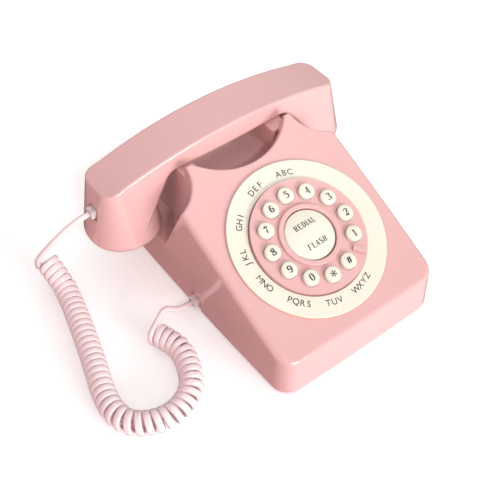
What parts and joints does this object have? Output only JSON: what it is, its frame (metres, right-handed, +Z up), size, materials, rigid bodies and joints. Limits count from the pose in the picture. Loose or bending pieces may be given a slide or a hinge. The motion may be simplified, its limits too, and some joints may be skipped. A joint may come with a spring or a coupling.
{
  "type": "push-button desk telephone",
  "caption": "Wedge-shaped corded desk telephone with a horned cradle, a lift-off handset on a curly cord, and round push-buttons set in a ring like an old dial.",
  "frame": {"origin": "middle of the base on the table, at the feet's lower face", "axes": "+X to the right of someone who faces the dial, +Y to the back, +Z up"},
  "size_m": [0.298, 0.215, 0.1042],
  "materials": {
    "pink_plastic": "gloss",
    "ivory_plastic": "gloss",
    "black_plastic": "satin",
    "clear_plastic": "clear",
    "pink_cord": "satin",
    "rubber": "matte",
    "board": "satin",
    "steel": "satin",
    "iron": "matte"
  },
  "bodies": {
    "base": {"upper_housing": "pink_plastic", "bottom_cover": "pink_plastic", "rubber_feet": "rubber", "base_screws": "steel", "letter_ring": "ivory_plastic", "key_plate": "pink_plastic", "rocker_pin": "steel", "dome_mat": "rubber", "keypad_board": "board", "board_screws": "steel", "main_board": "board", "ballast_plate": "iron", "ringer_buzzer": "black_plastic", "line_jack": "black_plastic", "cord_jack": "black_plastic", "ringer_switch": "black_plastic", "hook_switch": "black_plastic", "hook_spring": "steel", "curly_cord": "pink_cord", "cord_tail_handset": "pink_cord", "cord_tail_base": "pink_cord", "plug_base": "clear_plastic"},
    "handset": {"handset_body": "pink_plastic", "ear_cap": "pink_plastic", "mouth_cap": "pink_plastic", "receiver_capsule": "black_plastic", "receiver_gasket": "rubber", "microphone": "steel", "handset_weight": "iron", "handset_jack": "black_plastic", "handset_screws": "steel", "plug_handset": "clear_plastic"},
    "key_1": {"key_1": "ivory_plastic"},
    "key_2": {"key_2": "ivory_plastic"},
    "key_3": {"key_3": "ivory_plastic"},
    "key_4": {"key_4": "ivory_plastic"},
    "key_5": {"key_5": "ivory_plastic"},
    "key_6": {"key_6": "ivory_plastic"},
    "key_7": {"key_7": "ivory_plastic"},
    "key_8": {"key_8": "ivory_plastic"},
    "key_9": {"key_9": "ivory_plastic"},
    "key_0": {"key_0": "ivory_plastic"},
    "key_star": {"key_star": "ivory_plastic"},
    "key_pound": {"key_pound": "ivory_plastic"},
    "centre_rocker": {"centre_rocker": "ivory_plastic"},
    "hook_yoke": {"hook_yoke": "ivory_plastic"},
    "ringer_knob": {"ringer_knob": "black_plastic"}
  },
  "joints": [
    {"name": "handset_lift", "type": "slide", "parent": "base", "child": "handset", "axis": [0, 0, 1], "range_m": [0, 0.12], "deforming": ["curly_cord", "cord_tail_handset"]},
    {"name": "hook_rise", "type": "slide", "parent": "base", "child": "hook_yoke", "axis": [0, 0, 1], "range_m": [0, 0.004], "stiffness_N_per_m": 80, "springref_m": 0.012, "deforming": ["hook_spring"]},
    {"name": "key_1_press", "type": "slide", "parent": "base", "child": "key_1", "axis": [0, 0.4226, -0.9063], "range_m": [0, 0.0015], "stiffness_N_per_m": 500, "springref_m": -0.0005},
    {"name": "key_2_press", "type": "slide", "parent": "base", "child": "key_2", "axis": [0, 0.4226, -0.9063], "range_m": [0, 0.0015], "stiffness_N_per_m": 500, "springref_m": -0.0005},
    {"name": "key_3_press", "type": "slide", "parent": "base", "child": "key_3", "axis": [0, 0.4226, -0.9063], "range_m": [0, 0.0015], "stiffness_N_per_m": 500, "springref_m": -0.0005},
    {"name": "key_4_press", "type": "slide", "parent": "base", "child": "key_4", "axis": [0, 0.4226, -0.9063], "range_m": [0, 0.0015], "stiffness_N_per_m": 500, "springref_m": -0.0005},
    {"name": "key_5_press", "type": "slide", "parent": "base", "child": "key_5", "axis": [0, 0.4226, -0.9063], "range_m": [0, 0.0015], "stiffness_N_per_m": 500, "springref_m": -0.0005},
    {"name": "key_6_press", "type": "slide", "parent": "base", "child": "key_6", "axis": [0, 0.4226, -0.9063], "range_m": [0, 0.0015], "stiffness_N_per_m": 500, "springref_m": -0.0005},
    {"name": "key_7_press", "type": "slide", "parent": "base", "child": "key_7", "axis": [0, 0.4226, -0.9063], "range_m": [0, 0.0015], "stiffness_N_per_m": 500, "springref_m": -0.0005},
    {"name": "key_8_press", "type": "slide", "parent": "base", "child": "key_8", "axis": [0, 0.4226, -0.9063], "range_m": [0, 0.0015], "stiffness_N_per_m": 500, "springref_m": -0.0005},
    {"name": "key_9_press", "type": "slide", "parent": "base", "child": "key_9", "axis": [0, 0.4226, -0.9063], "range_m": [0, 0.0015], "stiffness_N_per_m": 500, "springref_m": -0.0005},
    {"name": "key_0_press", "type": "slide", "parent": "base", "child": "key_0", "axis": [0, 0.4226, -0.9063], "range_m": [0, 0.0015], "stiffness_N_per_m": 500, "springref_m": -0.0005},
    {"name": "key_star_press", "type": "slide", "parent": "base", "child": "key_star", "axis": [0, 0.4226, -0.9063], "range_m": [0, 0.0015], "stiffness_N_per_m": 500, "springref_m": -0.0005},
    {"name": "key_pound_press", "type": "slide", "parent": "base", "child": "key_pound", "axis": [0, 0.4226, -0.9063], "range_m": [0, 0.0015], "stiffness_N_per_m": 500, "springref_m": -0.0005},
    {"name": "rocker_tilt", "type": "hinge", "parent": "base", "child": "centre_rocker", "pos_m": [0, -0.04338, 0.06598], "axis": [1, 0, 0], "range_deg": [-3, 3], "stiffness_Nm_per_rad": 0.3},
    {"name": "ringer_slide", "type": "slide", "parent": "base", "child": "ringer_knob", "axis": [1, 0, 0], "range_m": [0, 0.006]}
  ],
  "couplings": [
    {"joint": "hook_rise", "follows": "handset_lift", "ratio": 0.033333}
  ]
}
